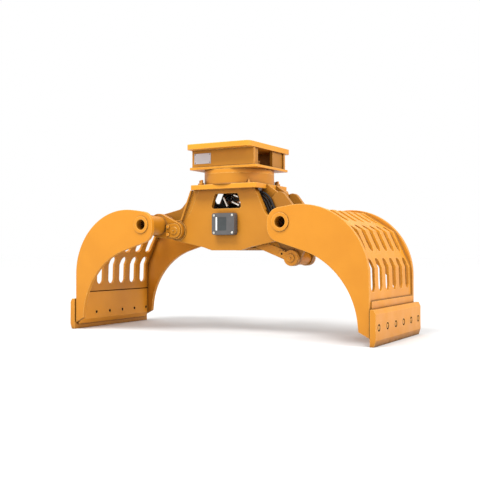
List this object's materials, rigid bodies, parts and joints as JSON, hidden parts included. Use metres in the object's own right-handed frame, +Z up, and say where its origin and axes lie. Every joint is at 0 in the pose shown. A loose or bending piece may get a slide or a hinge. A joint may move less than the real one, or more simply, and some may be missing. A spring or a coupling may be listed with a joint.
{
  "type": "multi grapple",
  "caption": "Hydraulic multi grapple with slotted clamshell jaws, a cylinder inside a plate frame, a synchronising link and a slewing head that bolts to a machine's adapter.",
  "frame": {"origin": "on the ground, at the centre of the bounding box's base, under the slewing axis; the part rests on its open cutting edges", "axes": "+Z up along the slewing axis, +X towards the right shell, +Y away from the control box"},
  "size_m": [2.168, 0.818, 1.2045],
  "materials": {
    "orange_paint": "satin",
    "dark_steel": "satin",
    "zinc_steel": "satin",
    "chrome_rod": "polished",
    "hose_rubber": "matte",
    "box_grey": "matte",
    "label_film": "matte",
    "plate_aluminium": "brushed"
  },
  "bodies": {
    "frame": {"frame_front_plate": "orange_paint", "frame_rear_plate": "orange_paint", "frame_top_plate": "orange_paint", "frame_end_covers": "orange_paint", "frame_floor_plate": "orange_paint", "pivot_bushes": "orange_paint", "slew_drum": "orange_paint", "slew_ring_outer": "orange_paint", "slew_rollers": "dark_steel", "slew_motor": "dark_steel", "swivel_body": "dark_steel", "swivel_hoses": "hose_rubber", "hose_nuts": "zinc_steel", "bulkhead_block": "dark_steel", "control_box_base": "box_grey", "control_box_lid": "box_grey", "control_box_pane": "label_film", "control_box_screws": "zinc_steel", "drum_studs": "orange_paint"},
    "head": {"head_floor_plate": "orange_paint", "head_side_plates": "orange_paint", "head_end_plates": "orange_paint", "head_top_plate": "orange_paint", "name_plate": "plate_aluminium", "slew_ring_inner": "dark_steel", "swivel_core": "dark_steel"},
    "pinion": {"slew_pinion": "dark_steel"},
    "barrel": {"cylinder_barrel": "dark_steel", "cylinder_gland": "dark_steel"},
    "rod": {"cylinder_rod": "chrome_rod", "cylinder_piston": "dark_steel"},
    "sync_link": {"sync_straps": "orange_paint"},
    "right_shell": {"right_side_plates": "orange_paint", "right_back_plate": "orange_paint", "right_lip_plate": "orange_paint", "right_cutting_plate": "orange_paint", "right_cutting_plate_bolts": "orange_paint", "right_torsion_tube": "orange_paint", "right_tube_end_rings": "orange_paint", "right_outer_ears": "orange_paint", "right_pivot_pins": "orange_paint", "right_pin_flag_bolts": "orange_paint", "right_lever_plates": "orange_paint", "right_cylinder_pin": "orange_paint", "link_boss_tube": "orange_paint", "lower_link_pin": "orange_paint", "link_pin_keepers": "orange_paint"},
    "left_shell": {"left_side_plates": "orange_paint", "left_back_plate": "orange_paint", "left_lip_plate": "orange_paint", "left_cutting_plate": "orange_paint", "left_cutting_plate_bolts": "orange_paint", "left_torsion_tube": "orange_paint", "left_tube_end_rings": "orange_paint", "left_outer_ears": "orange_paint", "left_pivot_pins": "orange_paint", "left_pin_flag_bolts": "orange_paint", "left_lever_plates": "orange_paint", "left_cylinder_pin": "orange_paint", "upper_link_pins": "orange_paint"}
  },
  "joints": [
    {"name": "right_shell_swing", "type": "hinge", "parent": "frame", "child": "right_shell", "pos_m": [0.37, 0, 0.659], "axis": [0, 1, 0], "range_deg": [0, 68.8]},
    {"name": "left_shell_swing", "type": "hinge", "parent": "frame", "child": "left_shell", "pos_m": [-0.37, 0, 0.659], "axis": [0, 1, 0], "range_deg": [-68.8, 0]},
    {"name": "barrel_turn", "type": "hinge", "parent": "left_shell", "child": "barrel", "pos_m": [-0.28808, 0, 0.77864], "axis": [0, 1, 0], "range_deg": [0, 68.8]},
    {"name": "rod_turn", "type": "hinge", "parent": "right_shell", "child": "rod", "pos_m": [0.28808, 0, 0.77864], "axis": [0, 1, 0], "range_deg": [-68.8, 0]},
    {"name": "link_turn", "type": "hinge", "parent": "right_shell", "child": "sync_link", "pos_m": [0.438, 0, 0.482], "axis": [0, 1, 0], "range_deg": [-62.51, 0]},
    {"name": "head_slew", "type": "hinge", "parent": "frame", "child": "head", "pos_m": [0, 0, 1.03], "axis": [0, 0, 1], "continuous": true},
    {"name": "pinion_turn", "type": "hinge", "parent": "frame", "child": "pinion", "pos_m": [-0.105, 0, 1.03], "axis": [0, 0, 1], "continuous": true}
  ],
  "couplings": [
    {"joint": "left_shell_swing", "follows": "right_shell_swing", "ratio": -1},
    {"joint": "barrel_turn", "follows": "right_shell_swing", "ratio": 1},
    {"joint": "rod_turn", "follows": "right_shell_swing", "ratio": -1},
    {"joint": "link_turn", "follows": "right_shell_swing", "ratio": -0.9085},
    {"joint": "pinion_turn", "follows": "head_slew", "ratio": 3.6923}
  ]
}
